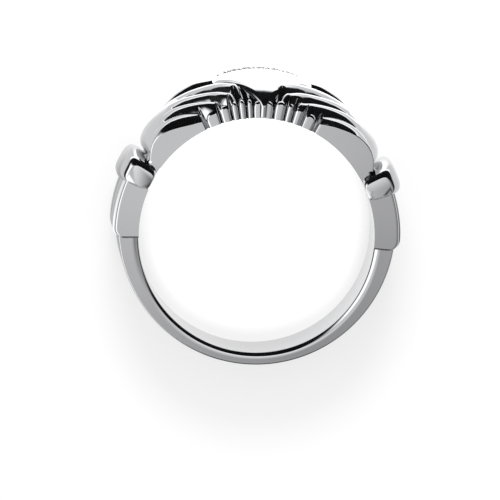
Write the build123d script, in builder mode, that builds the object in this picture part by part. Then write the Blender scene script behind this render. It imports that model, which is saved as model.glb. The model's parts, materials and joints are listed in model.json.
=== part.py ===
"""A claddagh ring in white metal, lying on its side as it rests by itself.

Millimetres. The ring is drawn in its own frame first: the finger passes along Z, the head is
toward +Y, the heart points to +Z and the crown to -Z. At the end the ring is laid down on the
tips of the crown and the far edge of the shank, with the origin under the middle of it.
"""

import os
from collections import namedtuple
from math import asin, atan2, cos, degrees, hypot, radians, sin, sqrt, tan

from build123d import *

# The finger hole and the plain lower shank
bore_diameter = 19.8
shank_width = 6.8
shank_bottom_wall = 1.05
shank_side_wall = 1.72
shank_inner_round = 0.25
shank_outer_round = 0.12

# The sleeve, a thicker and wider panel with a raised pleated field between two beads
sleeve_from = -3.8
sleeve_to = 19.8
sleeve_wall = 2.0
sleeve_width = 7.3
sleeve_corner = 0.7
field_rise = 0.26
field_from = -0.5
bead_width = 0.42
groove_width = 0.2
groove_depth = 0.22
pleat_count = 5
pleat_width = 0.16
pleat_depth = 0.14

# The rolled cuff, fuller in the middle than at its two ends
cuff_width = 7.5
cuff_foot_wall = -0.15
cuff_end_wall = 2.2
cuff_end_span = 1.75
cuff_end_angle = 23.4
cuff_middle_wall = 2.9
cuff_middle_span = 2.5
cuff_middle_angle = 25.6
cuff_round = 0.6

# The wrist, a short recess between the cuff and the hand
wrist_from = 18.0
wrist_to = 36.0
wrist_wall = 1.15
wrist_width = 5.6

# The head: the heart's top over the finger, and the plain base under heart and fingers
head_height = 3.6
base_from = 58.0
base_wall = 0.85
base_width = 6.1
finger_width = 1.4
finger_sink = 0.3
ridge_left = 0.03
ridge_steepness = 0.9

# The heart, and the two radii of its dome, across the finger and along it
heart_width = 8.4
heart_length = 7.0
heart_lobe_radius = 2.25
heart_dome_across = 9.0
heart_dome_along = 6.0
heart_edge_round = 0.16

# The crown behind the heart, with a row of round stones
crown_height = 3.35
crown_width = 7.0
crown_band = 1.7
crown_overlap = 0.4
crown_wall = 1.6
crown_curve = 8.9
crown_point = 0.95
crown_ball = 0.66
stone_count = 5
stone_diameter = 1.0
stone_pitch = 1.24
seat_clearance = 0.03
bead_diameter = 0.34
bead_spread = 0.7

# A round brilliant's proportions: lengths as shares of the diameter, slopes in degrees
table_share = 0.57
girdle_share = 0.04
crown_slope = 34.5
star_slope = 21.0
upper_half_slope = 40.5
pavilion_slope = 40.8
lower_half_slope = 42.2

bore_radius = bore_diameter / 2
half_width = shank_width / 2

# The two sides of the hand. Angles run from the sleeve side toward the head, and heights over
# the finger hole are shares of head_height.
SideRow = namedtuple("SideRow", "angle near far")
hand_sides = [
    SideRow(33.0, 0.26, 0.26),
    SideRow(34.5, 0.40, 0.40),
    SideRow(37.0, 0.47, 0.48),
    SideRow(42.0, 0.50, 0.53),
    SideRow(48.0, 0.45, 0.57),
    SideRow(54.0, 0.37, 0.56),
    SideRow(60.0, 0.28, 0.54),
    SideRow(66.0, 0.22, 0.52),
    SideRow(72.0, 0.22, 0.40),
    SideRow(84.0, 0.22, 0.22),
]

# Each finger's ridge from the wrist to its tip, the nearest the heart's point first: across is
# a share of half the shank's width, half of finger_width, height of head_height, and groove,
# the depth of the valley on its thumb side, of head_height too.
FingerRow = namedtuple("FingerRow", "angle across half height groove")
fingers = [
    [
        FingerRow(33.0, 0.78, 0.50, 0.34, 0.00),
        FingerRow(37.0, 0.78, 0.50, 0.56, 0.00),
        FingerRow(43.0, 0.78, 0.50, 0.61, 0.00),
        FingerRow(49.0, 0.77, 0.50, 0.59, 0.00),
        FingerRow(55.0, 0.76, 0.48, 0.55, 0.07),
        FingerRow(60.0, 0.77, 0.45, 0.48, 0.09),
        FingerRow(64.0, 0.78, 0.40, 0.38, 0.09),
    ],
    [
        FingerRow(33.0, 0.40, 0.50, 0.39, 0.00),
        FingerRow(37.0, 0.40, 0.50, 0.63, 0.00),
        FingerRow(43.0, 0.40, 0.50, 0.71, 0.00),
        FingerRow(54.0, 0.40, 0.50, 0.70, 0.00),
        FingerRow(60.0, 0.45, 0.48, 0.67, 0.07),
        FingerRow(65.0, 0.58, 0.46, 0.58, 0.10),
        FingerRow(68.6, 0.72, 0.42, 0.46, 0.09),
    ],
    [
        FingerRow(33.0, 0.02, 0.50, 0.41, 0.00),
        FingerRow(37.0, 0.02, 0.50, 0.66, 0.00),
        FingerRow(43.0, 0.02, 0.50, 0.76, 0.00),
        FingerRow(57.0, 0.05, 0.50, 0.79, 0.00),
        FingerRow(63.0, 0.14, 0.48, 0.77, 0.07),
        FingerRow(69.0, 0.40, 0.46, 0.67, 0.10),
        FingerRow(73.4, 0.70, 0.40, 0.54, 0.09),
    ],
    [
        FingerRow(33.0, -0.36, 0.50, 0.40, 0.00),
        FingerRow(37.0, -0.36, 0.50, 0.64, 0.00),
        FingerRow(43.0, -0.36, 0.50, 0.75, 0.00),
        FingerRow(58.0, -0.34, 0.50, 0.85, 0.00),
        FingerRow(65.0, -0.28, 0.48, 0.85, 0.16),
        FingerRow(72.0, 0.06, 0.46, 0.76, 0.26),
        FingerRow(78.0, 0.64, 0.40, 0.58, 0.20),
    ],
    [
        FingerRow(33.0, -0.72, 0.50, 0.35, 0.00),
        FingerRow(37.0, -0.72, 0.50, 0.57, 0.00),
        FingerRow(43.0, -0.72, 0.50, 0.68, 0.00),
        FingerRow(50.0, -0.73, 0.52, 0.78, 0.00),
        FingerRow(58.0, -0.76, 0.54, 0.88, 0.00),
        FingerRow(66.0, -0.79, 0.50, 0.91, 0.00),
        FingerRow(72.0, -0.82, 0.44, 0.84, 0.00),
    ],
]

# The rounding of a fingertip: degrees past the last row, and the share of its height left
tip_fall = [(0.9, 0.85), (1.7, 0.55), (2.3, 0.0)]
fingertip_notch = 0.3
hand_angles = [33.0, 34.5, 37.0, 40.0, 43.0, 46.0, 49.0, 52.0, 55.0, 58.0, 60.5, 62.5, 64.0]
head_step = 0.8
head_end = 84.0


def polar(radius, angle, z=0.0):
    """A point at a radius and angle round the finger."""
    return Vector(radius * cos(radians(angle)), radius * sin(radians(angle)), z)


def radial_plane(angle):
    """The plane through the finger's axis at an angle: x runs outward, y along the finger."""
    outward = polar(1, angle)
    return Plane(origin=(0, 0, 0), x_dir=outward, z_dir=(outward.Y, -outward.X, 0))


def sector(inner, outer, start, end):
    """Draws a piece of a flat ring in the open sketch."""
    with BuildLine() as outline:
        low = CenterArc((0, 0), inner, start, end - start)
        high = CenterArc((0, 0), outer, start, end - start)
        Line(low @ 0, high @ 0)
        Line(low @ 1, high @ 1)
    make_face(outline.edges())


# The lower shank: an outer circle set toward the head leaves the wall thinnest at the bottom
bottom_reach = bore_radius + shank_bottom_wall
side_reach = bore_radius + shank_side_wall
shank_radius = (side_reach**2 / bottom_reach + bottom_reach) / 2
shank_rise = shank_radius - bottom_reach

with BuildPart() as shank:
    with BuildSketch() as shank_outline:
        with Locations((0, shank_rise)):
            Circle(shank_radius)
        Circle(bore_radius, mode=Mode.SUBTRACT)
        with Locations((0, shank_radius)):
            Rectangle(4 * shank_radius, 2 * shank_radius, mode=Mode.SUBTRACT)
    extrude(amount=half_width, both=True)
    rims = shank.edges().filter_by(GeomType.CIRCLE).sort_by(SortBy.RADIUS)
    fillet(rims[:2], shank_inner_round)
    rims = shank.edges().filter_by(GeomType.CIRCLE).sort_by(SortBy.RADIUS)
    fillet([e for e in rims if abs(e.radius - shank_radius) < 1e-6], shank_outer_round)

# One sleeve, on the right
sleeve_radius = bore_radius + sleeve_wall
field_width = sleeve_width - 2 * (bead_width + groove_width)

with BuildPart() as sleeve:
    with BuildSketch() as sleeve_outline:
        sector(bore_radius, sleeve_radius, sleeve_from, sleeve_to)
        low_corner = sleeve_outline.vertices().sort_by(Axis.Y)[:2].sort_by(Axis.X)[-1]
        fillet(low_corner, sleeve_corner)
    extrude(amount=sleeve_width / 2, both=True)
    with BuildSketch(Plane.XY.offset(-field_width / 2 - groove_width)) as groove_outline:
        sector(sleeve_radius - groove_depth, sleeve_radius + groove_depth, field_from, sleeve_to)
    extrude(amount=field_width + 2 * groove_width, mode=Mode.SUBTRACT)
    with BuildSketch(Plane.XY.offset(-field_width / 2)) as field_outline:
        sector(bore_radius + sleeve_wall / 2, sleeve_radius + field_rise, field_from, sleeve_to)
        low_corner = field_outline.vertices().sort_by(Axis.Y)[:2].sort_by(Axis.X)[-1]
        fillet(low_corner, sleeve_corner)
    extrude(amount=field_width)
    pleat_step = field_width / pleat_count
    for pleat in range(1, pleat_count):
        pleat_z = -field_width / 2 + pleat * pleat_step - pleat_width / 2
        with BuildSketch(Plane.XY.offset(pleat_z)) as pleat_outline:
            sector(
                sleeve_radius + field_rise - pleat_depth,
                sleeve_radius + 2 * field_rise,
                field_from - (sleeve_to - field_from),
                sleeve_to,
            )
        extrude(amount=pleat_width, mode=Mode.SUBTRACT)

# One cuff: a roll lofted through its two ends and its fuller middle
with BuildPart() as cuff:
    for z, wall, span, angle in (
        (-cuff_width / 2, cuff_end_wall, cuff_end_span, cuff_end_angle),
        (0.0, cuff_middle_wall, cuff_middle_span, cuff_middle_angle),
        (cuff_width / 2, cuff_end_wall, cuff_end_span, cuff_end_angle),
    ):
        middle = polar(bore_radius + (wall + cuff_foot_wall) / 2, angle)
        with BuildSketch(Plane.XY.offset(z)) as cuff_outline:
            with Locations(Location((middle.X, middle.Y), angle)):
                RectangleRounded(wall - cuff_foot_wall, span, cuff_round)
    loft()

# One wrist
with BuildPart() as wrist:
    with BuildSketch(Plane.XY.offset(-wrist_width / 2)) as wrist_outline:
        sector(bore_radius, bore_radius + wrist_wall, wrist_from, wrist_to)
    extrude(amount=wrist_width)

def between(rows, angle, column):
    """A table's column at any angle, in a straight line from row to row."""
    if angle <= rows[0].angle:
        return getattr(rows[0], column)
    for low, high in zip(rows, rows[1:]):
        if angle <= high.angle:
            share = (angle - low.angle) / (high.angle - low.angle)
            return getattr(low, column) * (1 - share) + getattr(high, column) * share
    return getattr(rows[-1], column)


def finger_state(rows, angle):
    """A finger's across, half width, height and groove in millimetres at an angle."""
    height = between(rows, angle, "height") * head_height - base_wall
    past = angle - rows[-1].angle
    if past > 0:
        fall = [(0.0, 1.0), *tip_fall]
        left = 0.0
        for (turn, share), (next_turn, next_share) in zip(fall, fall[1:]):
            if turn <= past < next_turn:
                left = share + (next_share - share) * (past - turn) / (next_turn - turn)
        height *= left
    return (
        between(rows, angle, "across") * half_width,
        between(rows, angle, "half") * finger_width,
        bore_radius + base_wall + height,
        between(rows, angle, "groove") * head_height,
        past < tip_fall[-1][0],
    )


def near_notch(angle):
    """How far the near wall steps back between two fingertips, which swell forward."""
    ends = [rows[-1].angle + tip_fall[-1][0] for rows in fingers[:4]]
    for low, high in zip(ends, ends[1:]):
        if low <= angle <= high:
            share = 2 * (angle - low) / (high - low) - 1
            return fingertip_notch * (1 - sqrt(max(0.0, 1 - share**2)))
    return 0.0 if angle < ends[0] else fingertip_notch


def hand_section(angle):
    """Draws one section of the hand: near side, five ridges with valleys between, far side."""
    near_z = half_width - near_notch(angle)
    base = bore_radius + base_wall
    near = (bore_radius + between(hand_sides, angle, "near") * head_height, near_z)
    far = (bore_radius + between(hand_sides, angle, "far") * head_height, -half_width)
    states = [finger_state(rows, angle) for rows in fingers]
    live = [state for state in states if state[4]]
    near_flank = live[0][0] + live[0][1] if live else -half_width
    ended = 0
    while ended < len(states) and not states[ended][4]:
        ended += 1
    step = (near_z - near_flank) / max(ended, 1)
    ridges = []
    valleys = [near]
    for number, (z, half, top, groove, alive) in enumerate(states):
        if number < ended:
            ridges.append((base + ridge_left, near_z - step * (number + 0.5)))
            if number + 1 < len(states):
                valleys.append((base, near_z - step * (number + 1)))
            continue
        if not alive:
            z = (valleys[-1][1] - half_width) / 2
            top = base + ridge_left
        ridges.append((top, z))
        if number + 1 < len(states):
            next_z, next_half, next_top, _, next_alive = states[number + 1]
            edge = (z - half + next_z + next_half) / 2 if next_alive else z - half
            lower = min(top, next_top) - ridge_left
            valleys.append((max(base, lower - groove), edge))
    valleys.append(far)
    for number, (ridge, _) in enumerate(ridges):
        reach = (valleys[number][1] - valleys[number + 1][1]) / 2
        for side in (number, number + 1):
            r, z = valleys[side]
            if 0 < side < len(ridges):
                valleys[side] = (max(r, ridge - ridge_steepness * reach), z)
    with BuildLine() as outline:
        for (r1, z1), (r2, z2), (r3, z3) in zip(valleys, ridges, valleys[1:]):
            chord = r1 + (r3 - r1) * (z2 - z1) / (z3 - z1)
            reach = ridge_steepness * min(z1 - z2, z2 - z3)
            top = min(max(r2, chord + ridge_left), chord + reach)
            ThreePointArc((r1, z1), (top, z2), (r3, z3))
        foot = bore_radius - finger_sink
        Polyline(far, (foot, -half_width), (foot, near_z), near)
    make_face(outline.edges())


with BuildPart() as hand:
    head_steps = round((head_end - hand_angles[-1]) / head_step)
    for angle in hand_angles + [hand_angles[-1] + (n + 1) * head_step for n in range(head_steps)]:
        with BuildSketch(radial_plane(angle)):
            hand_section(angle)
    loft(ruled=True)

# The heart: its outline seen from outside, rising from the bore to a dome
outside = Plane(origin=(0, 0, 0), x_dir=(1, 0, 0), z_dir=(0, 1, 0))
lobe_x = heart_width / 2 - heart_lobe_radius
lobe_y = -half_width + heart_length - heart_lobe_radius
to_lobe = Vector(lobe_x, lobe_y + half_width)
side_angle = degrees(atan2(to_lobe.Y, to_lobe.X) - asin(heart_lobe_radius / to_lobe.length))
cleft_angle = degrees(atan2(sqrt(heart_lobe_radius**2 - lobe_x**2), -lobe_x))
apex = bore_radius + head_height

with BuildPart() as heart:
    with BuildSketch(outside.offset(bore_radius - finger_sink)) as heart_outline:
        with BuildLine():
            lobe = CenterArc(
                (lobe_x, lobe_y), heart_lobe_radius, side_angle - 90, cleft_angle - side_angle + 90
            )
            side = Line((0, -half_width), lobe @ 0)
            Line(lobe @ 1, side @ 0)
        make_face()
        mirror(about=Plane.YZ)
    extrude(amount=head_height + 2 * finger_sink)
    with BuildSketch(Plane.XY.offset(-lobe_y)) as dome_outline:
        with BuildLine():
            reach = heart_width
            drop = heart_dome_across - sqrt(heart_dome_across**2 - reach**2)
            arc = ThreePointArc((-reach, apex - drop), (0, apex), (reach, apex - drop))
            Polyline(
                arc @ 0,
                (-reach, apex - heart_dome_along),
                (reach, apex - heart_dome_along),
                arc @ 1,
            )
        make_face()
    revolve(
        axis=Axis((0, apex - heart_dome_along, -lobe_y), (1, 0, 0)),
        mode=Mode.INTERSECT,
    )
    fillet(heart.faces().sort_by(Axis.Y)[-1].edges(), heart_edge_round)

# The crown: a band behind the heart that ends in points, one ball on each
crown_top = bore_radius + crown_height
crown_centre = crown_top - crown_curve
crown_start = -half_width + heart_length - crown_overlap
point_width = crown_width / stone_count
point_y = crown_start + crown_band

with BuildPart() as crown:
    with BuildSketch(Plane.XY.offset(-crown_start)) as crown_arch:
        with Locations((0, crown_centre)):
            Circle(crown_curve)
            Circle(crown_curve - crown_wall, mode=Mode.SUBTRACT)
        with Locations((0, crown_top)):
            Rectangle(crown_width, 2 * crown_height, mode=Mode.INTERSECT)
    extrude(amount=-(crown_band + crown_point))
    with BuildSketch(outside.offset(bore_radius)) as crown_plan:
        with BuildLine():
            edge = Polyline(
                (crown_width / 2, point_y),
                (crown_width / 2, crown_start),
                (-crown_width / 2, crown_start),
                (-crown_width / 2, point_y),
            )
            zigzag = [(-crown_width / 2, point_y)]
            for point in range(stone_count):
                left = -crown_width / 2 + point * point_width
                zigzag.append((left + point_width / 2, point_y + crown_point))
                zigzag.append((left + point_width, point_y))
            Polyline(*zigzag)
        make_face()
    extrude(amount=2 * crown_height, mode=Mode.INTERSECT)
    for point in range(stone_count):
        x = -crown_width / 2 + (point + 0.5) * point_width
        rise = sqrt((crown_curve - crown_wall / 2) ** 2 - x**2)
        with Locations((x, crown_centre + rise, -point_y - crown_point)):
            Sphere(crown_ball / 2)

# One stone, cut facet by facet from a round blank with its girdle at height 0
stone_radius = stone_diameter / 2
girdle_half = girdle_share * stone_diameter / 2
table_radius = table_share * stone_radius
table_height = girdle_half + (stone_radius - table_radius) * tan(radians(crown_slope))
culet_depth = girdle_half + stone_radius * tan(radians(pavilion_slope))


def cut_facets(count, first, slope, reach, height):
    """Cuts a ring of flat facets through points at a reach and height, sloping down outward."""
    for facet in range(count):
        turn = first + facet * 360 / count
        out = polar(1, turn)
        tilt = radians(slope)
        facing = Vector(out.X * sin(tilt), out.Y * sin(tilt), cos(tilt))
        split(
            bisect_by=Plane(origin=out * reach + Vector(0, 0, height), z_dir=facing),
            keep=Keep.BOTTOM,
        )


with BuildPart() as stone:
    with BuildSketch(Plane.XY.offset(-culet_depth)) as blank:
        RegularPolygon(stone_radius, 16, rotation=11.25)
    extrude(amount=culet_depth + table_height)
    cut_facets(8, 0, crown_slope, stone_radius, girdle_half)
    cut_facets(8, 22.5, star_slope, table_radius * cos(radians(22.5)), table_height)
    cut_facets(16, 11.25, upper_half_slope, stone_radius, girdle_half)
    cut_facets(8, 0, 180 - pavilion_slope, stone_radius, -girdle_half)
    cut_facets(16, 11.25, 180 - lower_half_slope, stone_radius, -girdle_half)

# Where the stones sit, in a row along the crown, each facing straight out of it
seat_planes = []
bead_places = []
row_z = -crown_start - crown_band / 2
for place in range(stone_count):
    lean = (place - (stone_count - 1) / 2) * stone_pitch / crown_curve
    facing = Vector(sin(lean), cos(lean), 0)
    centre = Vector(0, crown_centre, row_z) + facing * crown_curve
    seat_planes.append(Plane(origin=centre, x_dir=(0, 0, 1), z_dir=facing))
for place in range(stone_count + 1):
    lean = (place - stone_count / 2) * stone_pitch / crown_curve
    facing = Vector(sin(lean), cos(lean), 0)
    for side in (-1, 1):
        z = row_z + side * stone_radius * bead_spread
        bead_places.append(Vector(0, crown_centre, z) + facing * crown_curve)

# The whole casting
with BuildPart() as casting:
    add(shank.part)
    for piece in (sleeve.part, cuff.part, wrist.part, hand.part):
        add(piece)
        add(mirror(piece, about=Plane.YZ, mode=Mode.PRIVATE))
    with BuildSketch(Plane.XY.offset(-half_width)) as base_outline:
        sector(bore_radius, bore_radius + base_wall, base_from, 180 - base_from)
    extrude(amount=half_width + base_width / 2)
    add(heart.part)
    add(crown.part)
    Cylinder(bore_radius, 4 * shank_width, mode=Mode.SUBTRACT)
    for seat in seat_planes:
        with BuildSketch(Plane(origin=seat.origin, x_dir=seat.x_dir, z_dir=seat.y_dir)) as hollow:
            reach = stone_radius + seat_clearance
            with BuildLine():
                Polyline(
                    (0, -culet_depth - seat_clearance),
                    (0, reach),
                    (reach, reach),
                    (reach, -girdle_half - seat_clearance),
                    close=True,
                )
            make_face()
        revolve(axis=Axis(seat.origin, seat.z_dir), mode=Mode.SUBTRACT)
    with Locations(*bead_places):
        Sphere(bead_diameter / 2)


# Laid down, the ring rests on the lowest balls of the crown and the far edge of the shank
outer_ball_x = crown_width / 2 - point_width / 2
ball_y = crown_centre + sqrt((crown_curve - crown_wall / 2) ** 2 - outer_ball_x**2)
ball_z = -point_y - crown_point
heel_y = -bottom_reach + shank_outer_round
heel_z = -half_width + shank_outer_round
span = hypot(ball_y - heel_y, heel_z - ball_z)
drop = crown_ball / 2 - shank_outer_round
lie = degrees(atan2(heel_z - ball_z, ball_y - heel_y) + asin(drop / span))
turned = casting.part.rotate(Axis.X, lie)
floor_box = turned.bounding_box()
to_floor = Location((-floor_box.center().X, -floor_box.center().Y, -floor_box.min.Z))
laid = to_floor * Location((0, 0, 0), (lie, 0, 0))

with BuildPart() as ring_body:
    add(casting.part.moved(laid))
ring_body.part.label = "ring_body"

os.makedirs("parts", exist_ok=True)
export_step(ring_body.part, "parts/ring_body.step")

for number, seat in enumerate(seat_planes, start=1):
    with BuildPart() as set_stone:
        add(stone.part.moved(laid * seat.location))
    set_stone.part.label = f"stone_{number}"
    export_step(set_stone.part, f"parts/stone_{number}.step")

print("lie", round(lie, 2), "degrees; finger axis", laid.position, laid.orientation)
print("ring volume", round(ring_body.part.volume, 1), "one stone", round(stone.part.volume, 3))
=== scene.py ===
# %% [markdown]
# A claddagh ring in polished white metal, lying on a pale table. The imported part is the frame:
# it holds every real size, and all that is made here sits on it. The ring lies on its side,
# tilted a little because the crown is wider than the shank. Drawing tilted shapes is awkward,
# so they are drawn in the ring's own axes and in millimetres first, and laid down last.

import json
from math import acos, asin, atan2, cos, degrees, exp, hypot, pi, radians, sin, sqrt

import bmesh
import bpy
from mathutils import Matrix, Vector


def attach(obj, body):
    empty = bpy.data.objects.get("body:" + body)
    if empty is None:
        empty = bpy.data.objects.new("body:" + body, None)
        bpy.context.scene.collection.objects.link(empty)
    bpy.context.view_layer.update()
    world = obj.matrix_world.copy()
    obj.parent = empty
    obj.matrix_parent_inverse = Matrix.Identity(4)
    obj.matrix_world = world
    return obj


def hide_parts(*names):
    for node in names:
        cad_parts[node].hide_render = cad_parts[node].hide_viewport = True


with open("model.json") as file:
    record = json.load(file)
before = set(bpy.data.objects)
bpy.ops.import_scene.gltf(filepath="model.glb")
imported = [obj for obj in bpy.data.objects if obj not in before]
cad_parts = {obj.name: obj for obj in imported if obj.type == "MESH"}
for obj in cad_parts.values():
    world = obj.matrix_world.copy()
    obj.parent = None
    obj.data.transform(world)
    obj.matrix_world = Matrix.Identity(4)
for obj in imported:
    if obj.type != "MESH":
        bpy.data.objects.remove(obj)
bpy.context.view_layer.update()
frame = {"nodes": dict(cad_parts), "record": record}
print("nodes in the frame:", sorted(frame["nodes"]))

# %% [markdown]
# The record says where the finger hole is and which way it points. That one mount gives the
# ring's own axes: Z along the finger toward the heart's point, Y toward the head, X across.
# One matrix then lays any finished mesh down, turned and scaled from millimetres to metres.

# %% The ring's own axes
MM = 0.001
hole = frame["record"]["mounts"][0]
bore = hole["dims"]["r_mm"]
shank_width = hole["dims"]["length_mm"]
half = shank_width / 2
along_finger = Vector(hole["axis"]).normalized()
to_head = along_finger.cross(Vector((1, 0, 0)))
turned = Matrix(((1, 0, 0), tuple(to_head), tuple(along_finger))).transposed()
lay_down = Matrix.Translation(hole["pos_m"]) @ turned.to_4x4() @ Matrix.Scale(MM, 4)
print("the ring leans", round(degrees(acos(along_finger.z)), 2), "degrees from flat")

# %% [markdown]
# Shader maths reads best as sums, so a small class wraps a socket. Adding, subtracting,
# multiplying or dividing two of them makes the Math node, and `node` makes any other kind:
# it takes the node's type, the values or links of its sockets, and its settings.


# %% A socket that can be written in sums
class Wire:
    """One socket of a node tree."""

    def __init__(self, tree, socket=None):
        self.tree = tree
        self.socket = socket

    def node(self, kind, sockets=None, settings=None, stops=(), output=0):
        made = self.tree.nodes.new(kind)
        for name, value in (settings or {}).items():
            setattr(made, name, value)
        if stops:
            ramp = made.color_ramp.elements
            while len(ramp) < len(stops):
                ramp.new(0.5)
            for stop, (place, colour) in zip(ramp, stops):
                stop.position = place
                stop.color = colour
        for name, value in (sockets or {}).items():
            if isinstance(value, Wire):
                self.tree.links.new(value.socket, made.inputs[name])
            else:
                made.inputs[name].default_value = value
        return Wire(self.tree, made.outputs[output] if made.outputs else None)

    def math(self, operation, first, second=0.0):
        return self.node("ShaderNodeMath", {0: first, 1: second}, {"operation": operation})

    def __add__(self, other):
        return self.math("ADD", self, other)

    def __sub__(self, other):
        return self.math("SUBTRACT", self, other)

    def __rsub__(self, other):
        return self.math("SUBTRACT", other, self)

    def __mul__(self, other):
        return self.math("MULTIPLY", self, other)

    def __truediv__(self, other):
        return self.math("DIVIDE", self, other)

    def __rtruediv__(self, other):
        return self.math("DIVIDE", other, self)

    __radd__ = __add__
    __rmul__ = __mul__


# %% Start and end a material
def start_nodes(owner):
    """Empties the node tree of a material or a world, and wraps it."""
    owner.use_nodes = True
    owner.node_tree.nodes.clear()
    return Wire(owner.node_tree)


def surface(wire, sockets):
    """Ends a material with the Principled shader."""
    shader = wire.node("ShaderNodeBsdfPrincipled", sockets)
    wire.node("ShaderNodeOutputMaterial", {"Surface": shader})


def grey(value):
    return (value, value, value, 1.0)


print("a mid grey:", grey(0.5))

# %% [markdown]
# The metal is white gold or a like alloy under rhodium. Fresh from the polishing wheel it is
# almost a mirror, so its look is mostly what it reflects. What is left to paint is a very fine
# haze: a slow waviness from hand finishing, faint wheel marks, and a roughness that wanders.
# Object coordinates keep all three in place on the metal, and Bump nodes need no extra faces.

# %% Polished white metal
least_haze = 0.055
more_haze = 0.05


def polished_metal():
    made = bpy.data.materials.new("polished_white_metal")
    wire = start_nodes(made)
    place = wire.node("ShaderNodeTexCoord", output=3)
    wander = wire.node("ShaderNodeTexNoise", {"Vector": place, "Scale": 420.0, "Detail": 3.0})
    wave = wire.node("ShaderNodeTexNoise", {"Vector": place, "Scale": 230.0, "Detail": 0.0})
    waviness = {"Strength": 1.0, "Distance": 0.000015, "Height": wave}
    slow = wire.node("ShaderNodeBump", waviness)
    marks = wire.node("ShaderNodeMapping", {"Vector": place, "Scale": (5200.0, 5200.0, 26000.0)})
    scratch = wire.node("ShaderNodeTexNoise", {"Vector": marks, "Scale": 1.0, "Detail": 2.0})
    scratches = {"Strength": 0.1, "Distance": 0.000002, "Height": scratch, "Normal": slow}
    looks = {
        "Base Color": (0.52, 0.522, 0.534, 1.0),
        "Metallic": 1.0,
        "Roughness": wander * more_haze + least_haze,
        "Normal": wire.node("ShaderNodeBump", scratches),
    }
    surface(wire, looks)
    return made


metal = polished_metal()
print("the metal has", len(metal.node_tree.nodes), "nodes")

# %% [markdown]
# The five stones are round brilliants, cut already in the frame. They only need to be clear: a
# fully transmitting shader with a high index, so that the facets sparkle. The frame's meshes
# stay as they are, and only their material slot is filled.


# %% Clear stones
def clear_stone():
    made = bpy.data.materials.new("clear_stone")
    wire = start_nodes(made)
    looks = {
        "Base Color": (0.98, 0.99, 1.0, 1.0),
        "Roughness": 0.0,
        "IOR": 2.2,
        "Transmission Weight": 1.0,
    }
    surface(wire, looks)
    return made


stone = clear_stone()
stones = [node for name, node in frame["nodes"].items() if name.startswith("stone_")]
for node in stones:
    node.data.materials.clear()
    node.data.materials.append(stone)
print("clear stones:", len(stones))

# %% [markdown]
# Every metal piece ends the same way: its doubles are merged and its normals made to point
# outward, it is laid down from the ring's own axes, and it stands for the one casting of the
# frame. Smooth shading with sharp edges kept above an angle suits cast and polished metal.

# %% Finish a metal piece
merge_reach = 0.00001


def add_object(name, data):
    made = bpy.data.objects.new(name, data)
    bpy.context.collection.objects.link(made)
    return made


def mesh_from(name, mesh):
    shape = bpy.data.meshes.new(name)
    mesh.to_mesh(shape)
    mesh.free()
    return shape


def metal_piece(name, mesh, crease=32):
    bmesh.ops.remove_doubles(mesh, verts=mesh.verts, dist=merge_reach)
    bmesh.ops.recalc_face_normals(mesh, faces=mesh.faces)
    bmesh.ops.transform(mesh, matrix=lay_down, verts=mesh.verts)
    shape = mesh_from(name, mesh)
    shape.shade_smooth()
    shape.set_sharp_from_angle(angle=radians(crease))
    shape.materials.append(metal)
    piece = add_object(name, shape)
    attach(piece, "root")
    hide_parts("ring_body")
    print(name, "has", sum(len(face.vertices) - 2 for face in shape.polygons), "triangles")


# %% [markdown]
# Nearly everything on a ring is placed by an angle round the finger and a radius from its
# middle. These helpers read and set both, with 0 degrees at the right and 90 at the head.

# %% Round the finger
head_angle = 90


def polar(radius, angle, z=0.0):
    """A point at a radius and angle round the finger."""
    return Vector((radius * cos(radians(angle)), radius * sin(radians(angle)), z))


def angle_of(vert):
    return degrees(atan2(vert.co.y, vert.co.x))


def reach_of(vert):
    return hypot(vert.co.x, vert.co.y)


def set_reach(vert, radius):
    scale = radius / reach_of(vert)
    vert.co.x *= scale
    vert.co.y *= scale


print("the head's middle is at", tuple(round(c, 2) for c in polar(bore, head_angle)))

# %% [markdown]
# Sleeves, cuffs, wrists and hands come in pairs, one on each side. Each is drawn on the right
# and mirrored for the left, which is why the normals are worked out last. A casting also has a
# little draft, so that it leaves its mould: its near and far faces fall away outward.

# %% Right and left
sides = ("right", "left")
draft = 0.011


def add_draft(mesh):
    for vert in mesh.verts:
        vert.co.z *= 1 - draft * (reach_of(vert) - bore)


def side_piece(name, side, mesh):
    """A piece drawn on the right; on the left it is mirrored."""
    add_draft(mesh)
    flip = 1 if side == "right" else -1
    bmesh.ops.scale(mesh, vec=(flip, 1, 1), verts=mesh.verts)
    metal_piece(f"{name}_{side}", mesh)


print("a near face falls away by", round(degrees(atan2(draft * half, 1)), 1), "degrees")

# %% [markdown]
# A band round a finger is a profile that is spun part of the way, so one helper spins any
# closed profile and fills its two ends.


# %% Spun bars
def rim_of(mesh):
    """The open edges of a mesh."""
    return [edge for edge in mesh.edges if edge.is_boundary]


def close(mesh):
    bmesh.ops.holes_fill(mesh, edges=rim_of(mesh), sides=0)


def arc_bar(profile, start, end, steps):
    """Spins a closed profile of (radius, z) points round the finger and closes its ends."""
    mesh = bmesh.new()
    points = [mesh.verts.new(polar(r, start, z)) for r, z in profile]
    edges = [mesh.edges.new((a, b)) for a, b in zip(points, points[1:] + points[:1])]
    sweep = radians(end - start)
    bmesh.ops.spin(
        mesh, geom=points + edges, cent=(0, 0, 0), axis=(0, 0, 1), angle=sweep, steps=steps
    )
    close(mesh)
    return mesh


trial = arc_bar([(bore, 0), (bore + 1, 0), (bore + 1, 1)], 0, 10, 2)
print("a three-sided bar of two steps has", len(trial.faces), "faces")
trial.free()

# %% [markdown]
# Edges on polished metal are never sharp, so each corner of a profile is rounded by a quarter
# ellipse. A point is also kept a little before and after each round: the two hold the shading
# of the flat face beside it. A bar needs two roundings: one inside, one for its outer corners.

# %% Rounded profiles
round_steps = 8
support = 0.03


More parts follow.
